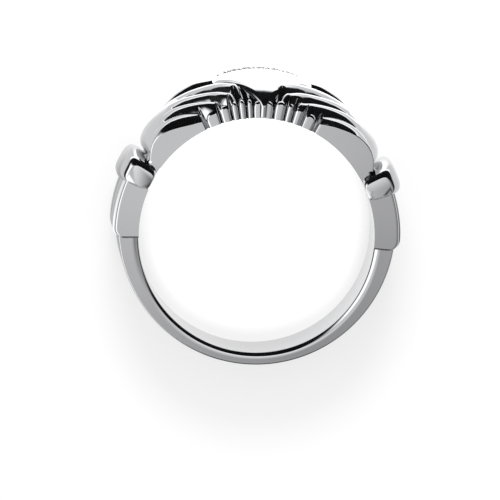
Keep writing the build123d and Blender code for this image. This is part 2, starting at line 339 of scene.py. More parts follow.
def rounded(corners):
    """A closed profile from rows of (radius, z, rounding along radius, rounding along z)."""
    points = []
    for n, (r, z, wide, deep) in enumerate(corners):
        here = Vector((r, z))
        before = (Vector(corners[n - 1][:2]) - here).normalized()
        after = (Vector(corners[(n + 1) % len(corners)][:2]) - here).normalized()
        back = before * abs(before.dot((wide, deep)))
        ahead = after * abs(after.dot((wide, deep)))
        points.append(here + back + before * support)
        for step in range(round_steps + 1):
            turn = pi / 2 * step / round_steps
            points.append(here + back * (1 - sin(turn)) + ahead * (1 - cos(turn)))
        points.append(here + ahead + after * support)
    return points


def bar_profile(outer, edge, inside, outside):
    """A bar's profile on the finger hole, with the roundings of its inner and outer corners."""
    near = [(outer, edge, *outside), (bore, edge, *inside)]
    return rounded([(bore, -edge, *inside), (outer, -edge, *outside), *near])


print("a rounded bar has", len(bar_profile(bore + 1, 1, (0.1, 0.1), (0.1, 0.1))), "points across")

# %% [markdown]
# The shank is a plain band, thinnest under the finger and thicker toward the sleeves: its
# outside is a larger circle, set a little toward the head. A rounded rectangle is spun round
# the finger, most rounded inside because skin touches it there, and the points of its outside
# are then moved onto that larger circle.

# %% Shank
bottom_wall = 1.05
side_wall = 1.72
inner_round = (0.55, 0.28)
outer_round = (0.1, 0.1)
shank_from = -187
shank_to = 7
bottom_reach = bore + bottom_wall
side_reach = bore + side_wall
shank_radius = (side_reach**2 / bottom_reach + bottom_reach) / 2
shank_rise = shank_radius - bottom_reach
middle_reach = (bore + side_reach) / 2


def build_shank():
    profile = bar_profile(side_reach, half, inner_round, outer_round)
    mesh = arc_bar(profile, shank_from, shank_to, shank_to - shank_from)
    for vert in mesh.verts:
        if reach_of(vert) > middle_reach:
            turn = radians(angle_of(vert))
            outer = shank_rise * sin(turn) + sqrt(shank_radius**2 - (shank_rise * cos(turn)) ** 2)
            set_reach(vert, reach_of(vert) - side_reach + outer)
    add_draft(mesh)
    return mesh


metal_piece("shank", build_shank())

# %% [markdown]
# The sleeves are thicker panels, a little wider than the shank. Each has a small bead along
# both edges, a groove, and a raised field with fine pleats. Cutting them would take many
# tools, but all of it is one profile across the ring, so it is worked out as a height at each
# place across.

# %% The sleeve's profile
sleeve_wall = 2.06
sleeve_width = 7.3
bead_width = 0.42
groove_width = 0.2
groove_depth = 0.14
field_rise = 0.14
pleat_count = 4
pleat_depth = 0.2
pleat_width = 0.16
sleeve_edge = sleeve_width / 2
field_edge = sleeve_edge - bead_width - groove_width


def sleeve_height(z):
    """How far the sleeve stands over its plain radius at a place across it."""
    inward = sleeve_edge - abs(z)
    if inward < bead_width:
        share = 2 * inward / bead_width - 1
        return (sqrt(max(0.0, 1 - share**2)) - 1) * bead_width / 2
    if inward < bead_width + groove_width:
        return -groove_depth
    pleat_step = 2 * field_edge / pleat_count
    pleats = [n * pleat_step - field_edge for n in range(1, pleat_count)]
    away = min(abs(z - pleat) for pleat in pleats) / pleat_width
    return field_rise - pleat_depth * exp(-2 * away * away)


print("a pleat's bottom is", round(sleeve_height(0.0), 2), "mm from the plain sleeve")

# %% [markdown]
# The profile needs points close together on the bead and the pleats, and a pair at the groove.
# They are listed for one half and mirrored. The foot is the plain part under the relief.

# %% Points across the sleeve
bead_steps = 10
field_steps = 30
groove_side = 0.02
field_side = 0.04
foot_below = 0.04
place_digits = 5
foot_reach = bore + sleeve_wall - bead_width / 2 - foot_below


def sleeve_profile():
    places = [sleeve_edge - bead_width * (1 - cos(pi * n / bead_steps)) / 2 for n in range(bead_steps + 1)]
    places += [sleeve_edge - bead_width - groove_side, field_edge + groove_side / 2]
    places += [(field_edge - field_side) * (1 - n / field_steps) for n in range(field_steps)]
    places = {round(z, place_digits) for z in places}
    places = sorted(places | {-z for z in places} | {0.0})
    outer = [(bore + sleeve_wall + sleeve_height(z), z) for z in places]
    foot = [(foot_reach, sleeve_edge), (bore, sleeve_edge), (bore, -sleeve_edge)]
    return [*foot, (foot_reach, -sleeve_edge), *outer]


print("points across the sleeve:", len(sleeve_profile()))

# %% [markdown]
# Spun along the ring, the profile would end in two sharp steps. The lower end is rounded off
# on the real ring, so the outside sinks there by a quarter round, the relief fades out over a
# longer one, and the sides draw in by a small one. The spin's steps are crowded toward the
# ends, so that these rounds have enough of them.

# %% Sleeves
sleeve_from = -3.8
sleeve_to = 20.5
sleeve_steps = 48
sleeve_corner = 0.9
sleeve_round = 0.15
field_fade = 1.9
dense = 0.9
outside_over = 0.5


def quarter_drop(run, size):
    """How much a quarter round of some size has still to rise at a run from its start."""
    left = min(size, max(0.0, size - run))
    return size - sqrt(size * size - left * left)


def build_sleeve():
    mesh = arc_bar(sleeve_profile(), sleeve_from, sleeve_to, sleeve_steps)
    sleeve_reach = bore + sleeve_wall
    sweep = sleeve_to - sleeve_from
    for vert in mesh.verts:
        share = (angle_of(vert) - sleeve_from) / sweep
        share -= dense * sin(2 * pi * share) / (2 * pi)
        run = radians(share * sweep) * sleeve_reach
        reach = reach_of(vert)
        relief = max(0.0, reach - sleeve_reach)
        if reach > bore + outside_over:
            reach -= quarter_drop(run, sleeve_corner)
            reach -= relief * quarter_drop(run, field_fade) / field_fade
        z = vert.co.z * (1 - quarter_drop(run, sleeve_round) / sleeve_edge)
        vert.co = polar(reach, sleeve_from + share * sweep, z)
    return mesh


for side in sides:
    side_piece("sleeve", side, build_sleeve())

# %% [markdown]
# Soft shapes such as a cuff or a heart are bridged from closed rings: each ring is a circle
# whose points are moved to their places, and bridging joins it to the next one with faces.
# With the same number of points in each ring the faces run straight, and shading stays clean.


# %% Rings and bridges
def ring_of(mesh, spots):
    """Adds a circle and moves its points to a list of spots. Gives its edges."""
    made = bmesh.ops.create_circle(mesh, segments=len(spots), radius=1)["verts"]
    for vert, spot in zip(made, spots):
        vert.co = spot
    return list({edge for vert in made for edge in vert.link_edges})


def bridge_rings(mesh, rings):
    for low, high in zip(rings, rings[1:]):
        bmesh.ops.bridge_loops(mesh, edges=low + high)


trial = bmesh.new()
print("a ring of three spots has", len(ring_of(trial, [(0, 0, 0), (1, 0, 0), (0, 1, 0)])), "edges")
trial.free()

# %% [markdown]
# Between sleeve and hand lies a rolled cuff, a bolster that is fuller in its middle than at
# its ends. A bevelled block would have flat sides, so its rings are squared circles, each
# scaled to the cuff's inner and outer reach and to its span there. The rows run from the near
# end to the middle, and the far half repeats them.

# %% Cuffs
cuff_rows = [
    # share of the width, inner reach, outer reach, first angle, last angle
    (1.0, 9.98, 12.0, 19.8, 27.7),
    (0.995, 9.93, 12.08, 19.75, 28.2),
    (0.98, 9.9, 12.17, 19.7, 28.8),
    (0.95, 9.9, 12.31, 19.6, 29.6),
    (0.90, 9.87, 12.46, 19.5, 30.3),
    (0.80, 9.87, 12.65, 19.3, 31.1),
    (0.66, 9.87, 12.79, 19.1, 31.9),
    (0.45, 9.87, 12.86, 19.0, 32.5),
    (0.22, 9.87, 12.88, 19.0, 32.8),
    (0.0, 9.87, 12.88, 19.0, 32.8),
]
cuff_width = 7.3
cuff_square = 4.0
cuff_points = 56


def cuff_ring(share, inner, outer, first, last):
    spots = []
    for n in range(cuff_points):
        c = cos(2 * pi * n / cuff_points)
        s = sin(2 * pi * n / cuff_points)
        reach = (abs(c) ** cuff_square + abs(s) ** cuff_square) ** (-1 / cuff_square)
        radius = (inner + outer) / 2 + c * reach * (outer - inner) / 2
        angle = (first + last) / 2 + s * reach * (last - first) / 2
        spots.append(polar(radius, angle, share * cuff_width / 2))
    return spots


def build_cuff():
    mesh = bmesh.new()
    rows = cuff_rows + [(-share, *rest) for share, *rest in cuff_rows[-2::-1]]
    bridge_rings(mesh, [ring_of(mesh, cuff_ring(*row)) for row in rows])
    close(mesh)
    return mesh


for side in sides:
    side_piece("cuff", side, build_cuff())

# %% [markdown]
# The wrist is the short recess that shows between cuff and hand. It is a plain bar with
# rounded outer edges, long enough to run under both neighbours.

# %% Wrists
wrist_from = 18
wrist_to = 36
wrist_edge = 2.9
wrist_wall = 1.3
wrist_round = (0.6, 0.6)
wrist_foot = (0.02, 0.02)
wrist_steps = 36


def build_wrist():
    profile = bar_profile(bore + wrist_wall, wrist_edge, wrist_foot, wrist_round)
    return arc_bar(profile, wrist_from, wrist_to, wrist_steps)


for side in sides:
    side_piece("wrist", side, build_wrist())

# %% [markdown]
# The hands are what makes this ring. Their forms are chosen in small tables, each
# ordered by the angle round the finger. These helpers read a table at any angle: one draws
# straight lines between the rows, the other averages a few degrees so that no corner is left.

# %% Read a table at any angle
around = (-1.0, -0.6, -0.2, 0.2, 0.6, 1.0)


def along(rows, angle, column):
    """A table's column at any angle; past either end it keeps the value there."""
    if angle <= rows[0][0]:
        return rows[0][column]
    for low, high in zip(rows, rows[1:]):
        if angle <= high[0]:
            share = (angle - low[0]) / (high[0] - low[0])
            return low[column] * (1 - share) + high[column] * share
    return rows[-1][column]


def smooth_along(rows, angle, column, reach=1.6):
    return sum(along(rows, angle + turn * reach, column) for turn in around) / len(around)


print("halfway between 0 and 10:", along([(0, 0), (1, 10)], 0.5, 1))

# %% [markdown]
# Four fingers and a thumb run from the wrist toward the heart. Each has a row for every few
# degrees: where it is across the ring, how high its crest is, and how wide it is. They are
# broad at the palm and narrow to the tips, and the fingertips turn toward the near side.

# %% Fingers
head_height = 3.6
# Rows: angle round the finger, place across as a share of half the shank, height as a share
# of the head's, and half width in millimetres.
finger_rows = {
    "little": [
        (33, 0.76, 0.38, 0.8),
        (36, 0.76, 0.51, 0.8),
        (40, 0.76, 0.6, 0.85),
        (46, 0.76, 0.655, 0.8),
        (50, 0.76, 0.645, 0.7),
        (55, 0.76, 0.575, 0.62),
        (60, 0.79, 0.465, 0.52),
        (63, 0.82, 0.4, 0.45),
    ],
    "ring": [
        (33, 0.4, 0.4, 0.8),
        (43, 0.4, 0.68, 0.85),
        (50, 0.41, 0.755, 0.78),
        (55, 0.46, 0.75, 0.68),
        (60, 0.55, 0.69, 0.6),
        (65, 0.65, 0.62, 0.54),
        (69, 0.76, 0.565, 0.48),
        (71.8, 0.83, 0.5, 0.44),
    ],
    "middle": [
        (33, 0.02, 0.42, 0.8),
        (43, 0.02, 0.76, 0.85),
        (54, 0.05, 0.83, 0.8),
        (60, 0.15, 0.81, 0.68),
        (66, 0.32, 0.755, 0.58),
        (71, 0.48, 0.72, 0.52),
        (75, 0.66, 0.69, 0.47),
        (78, 0.79, 0.63, 0.42),
    ],
    "index": [
        (33, -0.36, 0.42, 0.8),
        (43, -0.36, 0.76, 0.85),
        (55, -0.34, 0.845, 0.85),
        (63, -0.2, 0.85, 0.7),
        (70, 0.05, 0.85, 0.6),
        (76, 0.31, 0.85, 0.52),
        (80.5, 0.54, 0.8, 0.45),
    ],
    "thumb": [
        (33, -0.72, 0.38, 0.54),
        (43, -0.72, 0.66, 0.54),
        (50, -0.73, 0.78, 0.52),
        (58, -0.76, 0.89, 0.5),
        (66, -0.79, 0.92, 0.48),
        (73, -0.82, 0.85, 0.44),
    ],
}
for name, rows in finger_rows.items():
    print(name, "ends at", rows[-1][0], "degrees,", round(rows[-1][2] * head_height, 2), "mm high")

# %% [markdown]
# Behind the fingers lies the back of the hand, a low crowned form that rises steeply from the
# wrist. It gives way to the fingers along the knuckles, which run slantwise across it.

# %% Back of the hand
# Rows: angle, height at its crest, place of the crest across, both shares as above.
back_rows = [
    (32, 0.2, 0),
    (33.5, 0.56, 0),
    (35.5, 0.69, 0),
    (40, 0.79, 0),
    (45, 0.82, -0.05),
    (50, 0.83, -0.1),
    (56, 0.84, -0.15),
    (64, 0.8, -0.2),
    (90, 0.74, -0.3),
]
# Rows: place across, angle.
knuckle_rows = [(-1, 60.5), (-0.55, 58.5), (-0.17, 56), (0.21, 52), (0.58, 46.5), (1, 43)]
knuckle_ease = 9.0
knuckle_fall = 0.22
back_curve = 0.085
print("the knuckles run from", knuckle_rows[0][1], "to", knuckle_rows[-1][1], "degrees")

# %% [markdown]
# The near and far walls are the hand's two flat sides. The near one shows most: it is the
# palm's edge, and its upper line gives the hand its outline. The two hands were finished one
# by one, so each has its own table, and the left one's fingers are a little shorter.

# %% Walls of the hands
# Rows: angle, height as a share of the head's.
near_rows = {
    "right": [
        (32, 0.35), (33.5, 0.42), (36, 0.51), (39, 0.57), (42, 0.595), (45, 0.59),
        (48, 0.56), (51, 0.51), (54, 0.45), (57, 0.4), (60, 0.34), (64, 0.26),
        (67, 0.35), (74, 0.4), (80, 0.45), (90, 0.42),
    ],
    "left": [
        (32, 0.3), (34, 0.37), (36, 0.43), (39, 0.51), (42, 0.515), (45, 0.5),
        (48, 0.455), (51, 0.395), (54, 0.335), (57, 0.28), (61.8, 0.23),
        (65, 0.33), (74, 0.4), (80, 0.45), (90, 0.42),
    ],
}
far_rows = [
    (32, 0.28), (33.5, 0.42), (36, 0.48), (40, 0.52), (46, 0.56), (54, 0.56),
    (63.5, 0.53), (66.5, 0.5), (74, 0.38), (80, 0.26), (90, 0.22),
]
finger_stretch = {"right": 1.05, "left": 0.95}
for side, rows in near_rows.items():
    print(side, "palm is", round(max(h for _, h in rows) * head_height, 2), "mm high")

# %% [markdown]
# The near ends of the fingers stand on the wall as short columns with narrow slots between
# them. A column is a rounded front: how far the wall sinks in toward its sides follows a
# curve between a circle and a square. A slot is a small V.

# %% Columns and slots
# Rows: first and last angle, how far back, depth of the rounding, how square it is.
column_rows = {
    "right": [
        (0, 63.8, 0, 0.12, 120),
        (65.6, 71, 0, 0.2, 6),
        (71.6, 76.2, 0, 0.34, 2.6),
        (76.6, 79.8, 0, 0.26, 2.2),
        (80.2, 85, 0, 0.22, 3.4),
        (85.6, 94.4, 0.12, 0.16, 8),
    ],
    "left": [
        (0, 61.8, 0, 0.12, 120),
        (63.2, 69.6, 0, 0.22, 5),
        (70.1, 75, 0, 0.3, 3.2),
        (75.6, 78.6, 0, 0.26, 2.4),
        (78.9, 82, 0, 0.26, 2.4),
        (82.6, 85.1, 0.05, 0.24, 2.2),
        (85.6, 94.4, 0.12, 0.16, 8),
    ],
}
slot_edge = 0.25
slot_depth = 0.5
head_drop = 0.55
head_square = 2.3


def column_sink(angle, side):
    """How far the near wall stands back at an angle, and how far its top is lowered."""
    rows = column_rows[side]
    for first, last, set_back, depth, square in rows:
        if first <= angle <= last:
            share = abs(2 * (angle - first) / (last - first) - 1)
            sink = set_back + depth * (1 - sqrt(1 - share**square))
            drop = head_drop * (1 - sqrt(1 - share**head_square))
            return sink, drop if first > 0 else 0.0
    for low, high in zip(rows, rows[1:]):
        if low[1] < angle < high[0]:
            share = 1 - abs(2 * (angle - low[1]) / (high[0] - low[1]) - 1)
            return slot_edge + (slot_depth - slot_edge) * share, head_drop
    return 0.0, 0.0


print("a column's edge sinks in by", round(column_sink(71.6, "right")[0], 2), "mm")

# %% [markdown]
# A finger is a ridge. Its height falls off with the distance from its own line, measured
# square to that line, so it stays as wide where it runs slantwise. Past the fingertip the
# distance is measured from the tip, which rounds it.

# %% A finger's ridge
ridge_drop = 0.36
ridge_power = 2.2
tip_run = 2
turn_step = 1.2
mean_height = 2.4
arc_step = radians(1) * (bore + mean_height)


class Ridge:
    """One finger seen from one angle round the hole."""

    def __init__(self, rows, angle):
        tip = rows[-1][0]
        self.end = rows[-1][1] * half
        slope = (self.end - along(rows, tip - tip_run, 1) * half) / (tip_run * arc_step)
        self.past = (angle - tip) * arc_step
        if self.past > 0:
            self.centre = self.end + slope * self.past
        else:
            self.centre = smooth_along(rows, angle, 1, turn_step) * half
            behind = smooth_along(rows, angle - 1, 1, turn_step) * half
            slope = (self.centre - behind) / arc_step
        self.cosine = 1 / sqrt(1 + slope * slope)
        self.sine = slope * self.cosine
        self.top = smooth_along(rows, min(angle, tip), 2) * head_height
        self.width = smooth_along(rows, angle, 3)

    def height(self, z):
        aside = (z - self.centre) * self.cosine
        beyond = self.past * self.cosine + (z - self.end) * self.sine
        away = hypot(aside, beyond) if beyond > 0 else abs(aside)
        return self.top - ridge_drop * (away / self.width) ** ridge_power


middle_crest = Ridge(finger_rows["middle"], 60)
print("the middle finger's crest at 60 degrees is", round(middle_crest.top, 2), "mm high")

# %% [markdown]
# Where two ridges meet, cast metal leaves no knife-sharp valley, so their heights are joined
# by a soft maximum.

# %% Soft valleys
valley_round = 0.03
finger_floor = 0.7


def soft_max(values):
    """The highest of some heights, with its corners filled by a small round."""
    top = max(values)
    return top + valley_round * (sum(exp((v - top) / valley_round) for v in values) - 1) / 2


print("two equal heights of 1 join at", round(soft_max([1.0, 1.0]), 3))

# %% [markdown]
# The height of the hand at any place is the highest of its fingers and its back. On the palm
# the near edge is a slope: it keeps the rise from the wall to the little finger as one clean
# face, which reads as a dark line beside the palm. It is flatter next to the cuff. The edges
# along both walls fall off by the same quarter round as the sleeve's end.

# %% The hand's height
hand_from = 32.5
side_slopes = [(38.0, 1.3), (46.0, 2.0)]
upright = 1000.0
far_shoulder = 0.8
palm_edge_round = 0.1
head_edge_round = 0.3
wall_smooth = 0.8


def hand_column(angle, side):
    """Gives the near wall's place and the function of the hand's height at one angle."""
    sink, lower = column_sink(angle, side)
    near = half - sink
    on_palm = angle < column_rows[side][0][1]
    edge_round = palm_edge_round if on_palm else head_edge_round
    slope = along(side_slopes, angle, 1) if on_palm else upright
    near_wall = smooth_along(near_rows[side], angle, 1, wall_smooth) * head_height - lower
    angle = hand_from + (angle - hand_from) / finger_stretch[side]
    crest = smooth_along(back_rows, angle, 1) * head_height
    middle = smooth_along(back_rows, angle, 2) * half
    far_wall = smooth_along(far_rows, angle, 1) * head_height
    ridges = [Ridge(rows, angle) for rows in finger_rows.values()]

    def height(z):
        back = crest - back_curve * (z - middle) ** 2
        over = max(0.0, angle - along(knuckle_rows, z / half, 1))
        back -= knuckle_fall * over * over / (over + knuckle_ease)
        if back > far_wall:
            back -= (back - far_wall) * quarter_drop((z + half) / far_shoulder, 1)
        ledge = near_wall if z > 0 else min(near_wall, far_wall)
        top = soft_max([back, ledge, finger_floor, *(ridge.height(z) for ridge in ridges)])
        inward = max(0.0, near - z)
        return min(top, near_wall + inward * slope) - quarter_drop(inward, edge_round)

    return near, height


print("at 50 degrees the right hand is", round(hand_column(50, "right")[1](0.0), 2), "mm high")

# %% [markdown]
# The hand itself is a sheet first: a grid whose one way runs along the fingers and whose other
# way runs across them. Sculpting or many joined parts would be harder to keep closed. Each
# point is lifted to the hand's height, and the sheet's rim is then extruded twice, first by a
# thin strip that supports the wall's shading and then down to the finger hole. Bridging the
# two long sides and filling the ends makes it solid.

# %% Hands
hand_to = 90.0
along_count = 380
across_count = 190
edge_crowding = 0.35
kept_flat = 2.4
wall_strip = 0.03
same_angle = 1e-4


def lift_sheet(mesh, side):
    columns = {}
    for vert in mesh.verts:
        angle = hand_from + (hand_to - hand_from) * (vert.co.x + 1) / 2
        key = round(angle, 4)
        if key not in columns:
            columns[key] = hand_column(angle, side)
        near, height = columns[key]
        y = vert.co.y
        z = half * (sin(y * pi / 2) * edge_crowding + y * (1 - edge_crowding))
        if z > kept_flat:
            z = kept_flat + (z - kept_flat) * (near - kept_flat) / (half - kept_flat)
        vert.co = polar(bore + height(z), angle, z)


def extrude_rim(mesh):
    """Extrudes the open edges and gives the new points, still in their old places."""
    made = bmesh.ops.extrude_edge_only(mesh, edges=rim_of(mesh))["geom"]
    return [item for item in made if isinstance(item, bmesh.types.BMVert)]


def build_hand(side):
    mesh = bmesh.new()
    bmesh.ops.create_grid(mesh, x_segments=along_count, y_segments=across_count, size=1)
    lift_sheet(mesh, side)
    for vert in extrude_rim(mesh):
        set_reach(vert, reach_of(vert) - wall_strip)
    for vert in extrude_rim(mesh):
        set_reach(vert, bore)
    rim = rim_of(mesh)
    turns = [abs(angle_of(edge.verts[0]) - angle_of(edge.verts[1])) for edge in rim]
    long_sides = [edge for edge, turn in zip(rim, turns) if turn > same_angle]
    bmesh.ops.bridge_loops(mesh, edges=long_sides)
    close(mesh)
    return mesh


for side in sides:
    side_piece("hand", side, build_hand(side))

# %% [markdown]
# The heart is a prism in plan, two lobes and a point, under a dome that curves more along the
# finger than across it. A subdivided block would lose its crisp outline, so the outline is
# drawn first: an arc round the point, a straight side, and the arc of the lobe to the cleft.
# The other half is its mirror image.

# %% The heart's outline
heart_width = 8.4
heart_length = 7.0
lobe_radius = 2.25
tip_round = 0.34
tip_steps = 8
straight_steps = 26
lobe_steps = 44
lobe_x = heart_width / 2 - lobe_radius
lobe_z = half - heart_length + lobe_radius


def arc_spots(x, z, radius, start, end, steps):
    """Spots along an arc, with both of its ends."""
    turns = [start + (end - start) * n / steps for n in range(steps + 1)]
    return [Vector((x + radius * cos(turn), z + radius * sin(turn))) for turn in turns]


def heart_outline():
    """The outline from its point round one lobe to the cleft, and back round the other."""
    tip_z = half - tip_round
    reach = Vector((lobe_x, lobe_z - tip_z))
    start = atan2(reach.y, reach.x) + acos((tip_round - lobe_radius) / reach.length)
    end = acos(lobe_x / lobe_radius) - pi
    tip = arc_spots(0, tip_z, tip_round, pi / 2, start, tip_steps)
    lobe = arc_spots(lobe_x, lobe_z, lobe_radius, start, end, lobe_steps)
    straight = [tip[-1].lerp(lobe[0], n / straight_steps) for n in range(1, straight_steps)]
    side = tip + straight + lobe
    return side + [(-x, z) for x, z in side[-2:0:-1]]


print("points round the heart:", len(heart_outline()))

# %% [markdown]
# Rings of that outline, each drawn in a little more toward the heart's middle, are laid on the
# dome. The first ones are close together and sink along a quarter round, which gives the
# heart its soft edge.

# %% Heart
dome_across = 9.0
dome_along = 6.0
heart_edge = 0.3
heart_floor = 0.1
edge_strip = 0.03
heart_reach = 3.4
middle_shift = 0.35
heart_middle = lobe_z + middle_shift
apex = bore + head_height
edge_insets = [0.0, 0.01, 0.03, 0.06, 0.1, 0.15, 0.21, 0.3]
inner_rings = 13
ring_gap = 0.22


def dome(x, z):
    """The heart's top: a circle across the finger, revolved along it."""
    across = apex - dome_across + sqrt(dome_across**2 - x**2)
    turn = across - (apex - dome_along)
    return apex - dome_along + sqrt(max(0.0, turn**2 - (z - lobe_z) ** 2))


def heart_ring(outline, inset, below=0.0):
    """The outline drawn in toward the heart's middle and laid on its dome."""
    spots = []
    share = 1 - inset / heart_reach
    for x, z in outline:
        place = (x * share, heart_middle + (z - heart_middle) * share)
        sunk = quarter_drop(inset * hypot(x, z - heart_middle) / heart_reach, heart_edge)
        spots.append((place[0], dome(*place) - sunk - below, place[1]))
    return spots


def build_heart():
    outline = heart_outline()
    mesh = bmesh.new()
    insets = edge_insets + [edge_insets[-1] + ring_gap * n for n in range(1, inner_rings + 1)]
    rings = [ring_of(mesh, [(x, bore + heart_floor, z) for x, z in outline])]
    rings.append(ring_of(mesh, heart_ring(outline, 0.0, edge_strip)))
    rings += [ring_of(mesh, heart_ring(outline, inset)) for inset in insets]
    bridge_rings(mesh, rings)
    close(mesh)
    return mesh


metal_piece("heart", build_heart(), crease=50)

# %% [markdown]
# Heart, fingertips and crown stand on a plain floor of metal that runs under them all.

# %% Head base
base_from = 60
base_to = 120
base_wall = 0.75
base_inset = 0.5


def build_base():
    near = half - base_inset
    profile = [(bore, -half), (bore + base_wall, -half), (bore + base_wall, near), (bore, near)]
    return arc_bar(profile, base_from, base_to, base_to - base_from)


metal_piece("head_base", build_base())

# %% [markdown]
# The crown is a curved band behind the heart with five stones in a row. It curves less than
# the finger hole, about its own lower centre, so places on it are given by a lean from the
# middle.

# %% Places on the crown
crown_height = 3.35
crown_width = 7.0
crown_band = 1.7
crown_wall = 1.6
crown_curve = 8.9
crown_overlap = 0.4
points_count = 5
stone_pitch = 1.24
stone_radius = 0.5
plate = 0.6
crown_start = half - heart_length + crown_overlap
crown_end = crown_start - crown_band
crown_centre = bore + crown_height - crown_curve
crown_lean = asin(crown_width / 2 / crown_curve)
stone_lean = stone_pitch / crown_curve
row_z = (crown_start + crown_end) / 2


def on_crown(lean, depth, z):
    """A point of the crown's curved top, or under it by a depth."""
    reach = crown_curve - depth
    return Vector((reach * sin(lean), crown_centre + reach * cos(lean), z))


print("the crown leans out to", round(degrees(crown_lean), 1), "degrees at each side")

# %% [markdown]
# Each stone sits in a round seat sunk into the crown's top. Cutting holes with a boolean would
# leave messy faces, so the top is made of five tiles. A tile is a square ring bridged to the
# round rim of its seat, and on to the seat's ledge and its narrow bottom. Merging the tiles
# makes one sheet, whose rim is extruded down to close the plate.

# %% Crown plate
seat_gap = 0.03
seat_ledge = 0.05
seat_depth = 0.48
seat_floor = 0.05
tile_steps = 8
tile_merge = 0.001


def add_seat(mesh, lean, left, right):
    """One tile of the crown's top, with a stone's seat sunk in its middle."""
    edge = crown_band / 2
    corners = [(right, edge), (left, edge), (left, -edge), (right, -edge)]
    outline = []
    for start, end in zip(corners, corners[1:] + corners[:1]):
        steps = [n / tile_steps for n in range(tile_steps)]
        outline += [[a + (b - a) * step for a, b in zip(start, end)] for step in steps]
    turns = [pi / 4 + 2 * pi * n / len(outline) for n in range(len(outline))]
    rings = [ring_of(mesh, [on_crown(lean + u, 0, row_z + v) for u, v in outline])]
    rim = stone_radius + seat_gap
    for reach, depth in ((rim, 0.0), (rim, seat_ledge), (seat_floor, seat_depth)):
        around_seat = [(reach * cos(turn) / crown_curve, reach * sin(turn)) for turn in turns]
        rings.append(ring_of(mesh, [on_crown(lean + u, depth, row_z + v) for u, v in around_seat]))
    bridge_rings(mesh, rings)
    bmesh.ops.holes_fill(mesh, edges=rings[-1], sides=0)


def build_crown_plate():
    mesh = bmesh.new()
    for n in range(points_count):
        lean = (n - (points_count - 1) / 2) * stone_lean
        left = -stone_lean / 2 if n else -crown_lean - lean
        right = stone_lean / 2 if n < points_count - 1 else crown_lean - lean
        add_seat(mesh, lean, left, right)
    bmesh.ops.remove_doubles(mesh, verts=mesh.verts, dist=tile_merge)
    centre = Vector((0, crown_centre, 0))
    for vert in extrude_rim(mesh):
        outward = Vector((vert.co.x, vert.co.y - crown_centre, 0)).normalized()
        vert.co = centre + outward * (crown_curve - plate) + Vector((0, 0, vert.co.z))
    close(mesh)
    return mesh


metal_piece("crown_plate", build_crown_plate())

# %% [markdown]
# Behind the band stand the crown's points, four-sided cones laid back along the finger, each
# with a ball on its tip. A cone and a sphere are ready shapes, so they only need their places.
# The cone's tip keeps a tiny width, so that no faces collapse there, and the ball covers it.

# %% Points and balls
crown_point = 0.95
crown_ball = 0.66
ball_faces = (24, 16)
point_tip = 0.001
point_foot = 0.7
point_height = 1.05


def add_ball(mesh, size, faces, place):
    turns, rows = faces
    bmesh.ops.create_uvsphere(mesh, u_segments=turns, v_segments=rows, radius=size / 2, matrix=place)


def add_point(mesh, x, width):
    """One point of the crown and the ball on its tip."""
    rise = crown_centre + sqrt((crown_curve - crown_wall / 2) ** 2 - x**2)
    lean = Matrix.Rotation(-asin(x / crown_curve), 4, "Z")
    square = Matrix.Scale(point_height, 4, (0, 1, 0)) @ Matrix.Rotation(pi / 4, 4, "Z")
    middle = Matrix.Translation((x, rise, crown_end - crown_point / 2))
    bmesh.ops.create_cone(
        mesh,
        cap_ends=True,
        segments=4,
        radius1=point_tip,
        radius2=width * point_foot,
        depth=crown_point,
        matrix=middle @ lean @ square,
    )
    tip = Matrix.Translation((x, rise, crown_end - crown_point))
    add_ball(mesh, crown_ball, ball_faces, tip)


trial = bmesh.new()
add_point(trial, 0, crown_width / points_count)
print("a point and its ball have", len(trial.faces), "faces")
trial.free()

# %% [markdown]
# Under the plate the crown is a plain bar, spun about the crown's own centre. Small beads
# beside the stones hold them, as a setter raises them from the metal.

# %% Crown
bead_size = 0.34
bead_spread = 0.7
bead_faces = (16, 10)
plate_lap = 0.1
crown_steps = 50


def build_crown():
    inside = crown_curve - crown_wall
    outside = crown_curve - plate + plate_lap
    profile = [(inside, crown_start), (outside, crown_start), (outside, crown_end), (inside, crown_end)]
    lean = degrees(crown_lean)
    mesh = arc_bar(profile, head_angle - lean, head_angle + lean, crown_steps)
    bmesh.ops.translate(mesh, vec=(0, crown_centre, 0), verts=mesh.verts)
    width = crown_width / points_count
    for n in range(points_count):
        add_point(mesh, -crown_width / 2 + (n + 0.5) * width, width)
    for n in range(points_count + 1):
        for z in (-bead_spread * stone_radius, bead_spread * stone_radius):
            place = on_crown((n - points_count / 2) * stone_lean, 0, row_z + z)
            add_ball(mesh, bead_size, bead_faces, Matrix.Translation(place))
    return mesh


metal_piece("crown", build_crown())

# %% [markdown]
# The table and the studio need a few more shader helpers: a blend of two colours, a soft step
# between two values, the parts of a vector, a distance from a place, and a mask for mirrors.


# %% More shader helpers
def mix(wire, share, low, high):
    sockets = {0: share, 6: low, 7: high}
    return wire.node("ShaderNodeMix", sockets, {"data_type": "RGBA"}, output=2)


def smooth_step(wire, value, start, end):
    sockets = {0: value, 1: start, 2: end, 3: 0.0, 4: 1.0}
    return wire.node("ShaderNodeMapRange", sockets, {"interpolation_type": "SMOOTHSTEP"})


def parts(wire, vector):
    """The x, y and z of a vector."""
    split = wire.node("ShaderNodeSeparateXYZ", {"Vector": vector}).socket.node
    return [Wire(wire.tree, output) for output in split.outputs]


def distance(wire, x, y, place):
    aside = x - place[0]
    beyond = y - place[1]
    return wire.math("SQRT", aside * aside + beyond * beyond)


def mirror_rays(wire):
    """1 for rays that a mirror sends out, and 0 for all others."""
    return wire.node("ShaderNodeLightPath", output=3)


print("helpers that make nodes:", [helper.__name__ for helper in (mix, smooth_step, parts)])
